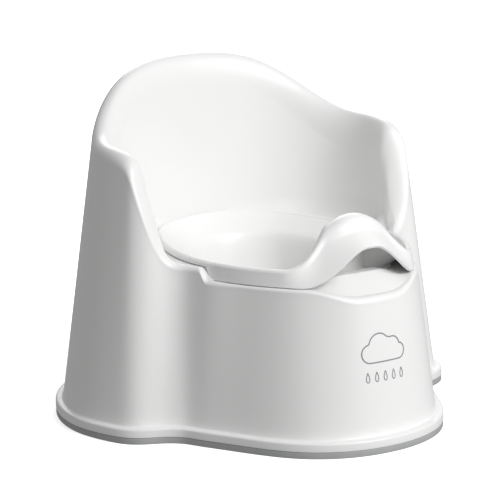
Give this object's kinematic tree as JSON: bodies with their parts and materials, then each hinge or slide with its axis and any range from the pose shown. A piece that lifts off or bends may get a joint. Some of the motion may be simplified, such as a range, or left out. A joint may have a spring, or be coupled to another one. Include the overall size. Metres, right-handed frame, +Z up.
{
  "type": "potty training chair",
  "caption": "Moulded child's potty chair with a wraparound backrest and arms, a lift-out potty with a splash guard, and a soft anti-slip strip under its flange.",
  "frame": {"origin": "on the floor, under the middle of the chair's length and width", "axes": "+Z up, +Y to the backrest (the sitting child faces -Y), +X to the chair's right seen from the front; x = 0 is the mirror plane"},
  "size_m": [0.3894, 0.365, 0.315],
  "materials": {
    "chair_white_plastic": "smooth moulded polypropylene with a soft gloss",
    "potty_white_plastic": "smooth moulded polypropylene with a soft gloss",
    "soft_grey_strip": "matt soft thermoplastic elastomer"
  },
  "bodies": {
    "chair": {"chair_shell": "chair_white_plastic", "anti_slip_strip": "soft_grey_strip"},
    "potty": {"inner_potty": "potty_white_plastic"}
  },
  "joints": [
    {"name": "potty_lift", "type": "slide", "parent": "chair", "child": "potty", "axis": [0, 0, 1], "range_m": [0, 0.3]}
  ]
}
